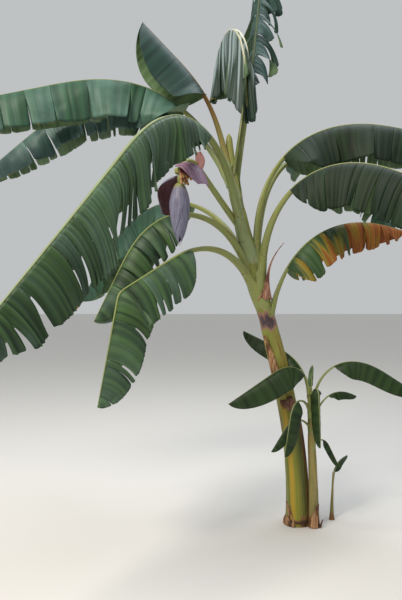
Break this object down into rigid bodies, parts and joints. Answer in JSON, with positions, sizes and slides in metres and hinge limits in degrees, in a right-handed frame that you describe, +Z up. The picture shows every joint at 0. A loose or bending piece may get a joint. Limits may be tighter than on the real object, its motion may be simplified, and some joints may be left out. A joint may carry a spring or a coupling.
{
  "type": "banana plant",
  "caption": "Banana plant with a leaning trunk of rolled leaf sheaths, long arching wind-torn leaves, a hanging flower bud and young suckers on the same root.",
  "frame": {"origin": "centre of the flat cut under the main stem, at ground level", "axes": "+Z up, +X to the right of the picture's viewer, the side away from which the trunk leans, +Y away from that viewer"},
  "size_m": [4.5226, 3.6809, 5.0041],
  "materials": {
    "stem": "smooth, waxy, streaked",
    "sheath": "smooth, waxy",
    "stalk": "smooth, waxy",
    "dried": "dry, fibrous",
    "leaf": "waxy, ribbed",
    "pale_leaf": "waxy, ribbed",
    "withered_leaf": "dry, ribbed",
    "bud": "waxy, ridged",
    "bract": "waxy",
    "flower": "satin"
  },
  "bodies": {
    "root": {"bract_hanging": "bract", "bract_lifted": "bract", "bract_raised": "bract", "cut_stalk_front": "dried", "dry_sheath_left": "dried", "dry_stalk_right": "dried", "flower_bud": "bud", "flower_hand": "flower", "flower_stalk": "stalk", "leaf_back_left": "leaf", "leaf_back_right": "leaf", "leaf_flag": "leaf", "leaf_left_bent": "leaf", "leaf_left_front": "leaf", "leaf_left_high": "leaf", "leaf_left_low": "leaf", "leaf_left_second": "leaf", "leaf_right_front": "leaf", "leaf_right_high": "leaf", "leaf_right_withered": "withered_leaf", "leaf_top_folded": "pale_leaf", "leaf_top_torn": "leaf", "main_stem": "stem", "outer_sheath": "sheath", "sprout_leaf": "leaf", "sprout_stem": "stalk", "sucker_leaf_back": "leaf", "sucker_leaf_drooping": "leaf", "sucker_leaf_front": "leaf", "sucker_leaf_left": "leaf", "sucker_leaf_low_right": "leaf", "sucker_leaf_lowest": "leaf", "sucker_leaf_right": "leaf", "sucker_leaf_small": "leaf", "sucker_leaf_spear": "leaf", "sucker_stem": "stem"}
  },
  "joints": []
}
